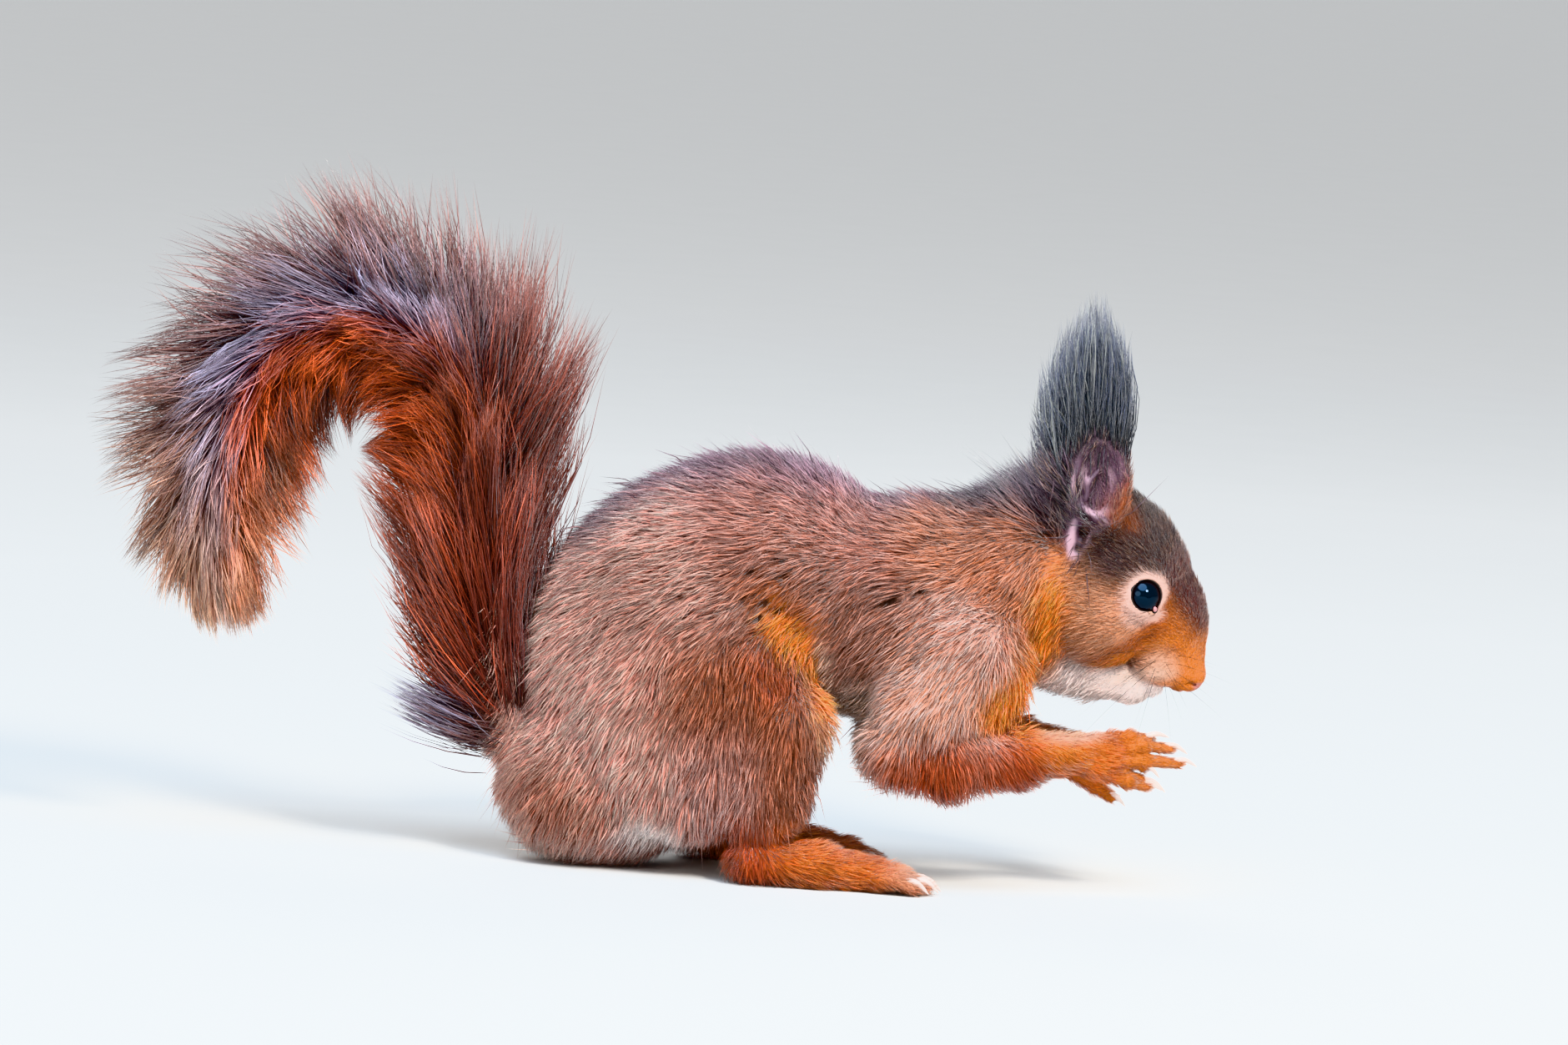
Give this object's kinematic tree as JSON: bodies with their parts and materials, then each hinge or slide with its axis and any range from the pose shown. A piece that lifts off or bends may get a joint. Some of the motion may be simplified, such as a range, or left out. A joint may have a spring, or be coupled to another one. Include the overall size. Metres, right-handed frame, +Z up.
{
  "type": "red squirrel model",
  "caption": "Life-size still model of a red squirrel sitting on its haunches, hands raised to its mouth, bushy tail curled over behind its back, ears with long tufts.",
  "frame": {"origin": "centre of the whole box, on the floor that the rump and the soles rest on", "axes": "+X the way the animal faces and the longest extent, +Y its left side, +Z up"},
  "size_m": [0.2776, 0.0728, 0.17],
  "materials": {
    "coat_back": "matte",
    "coat_head": "matte",
    "coat_limb": "matte",
    "coat_tail": "matte",
    "coat_tuft": "matte",
    "eye_dark": "gloss"
  },
  "bodies": {
    "root": {"rump": "coat_back", "belly": "coat_back", "chest": "coat_back", "neck": "coat_back", "thigh_right": "coat_back", "shank_right": "coat_back", "foot_right": "coat_limb", "upper_arm_right": "coat_limb", "forearm_right": "coat_limb", "hand_right": "coat_limb", "ear_right": "coat_head", "ear_tuft_right": "coat_tuft", "eye_right": "eye_dark", "thigh_left": "coat_back", "shank_left": "coat_back", "foot_left": "coat_limb", "upper_arm_left": "coat_limb", "forearm_left": "coat_limb", "hand_left": "coat_limb", "ear_left": "coat_head", "ear_tuft_left": "coat_tuft", "eye_left": "eye_dark", "head": "coat_head", "lower_jaw": "coat_head", "tail_root": "coat_tail", "tail_rise": "coat_tail", "tail_bend": "coat_tail", "tail_fall": "coat_tail", "tail_tip": "coat_tail"}
  },
  "joints": []
}
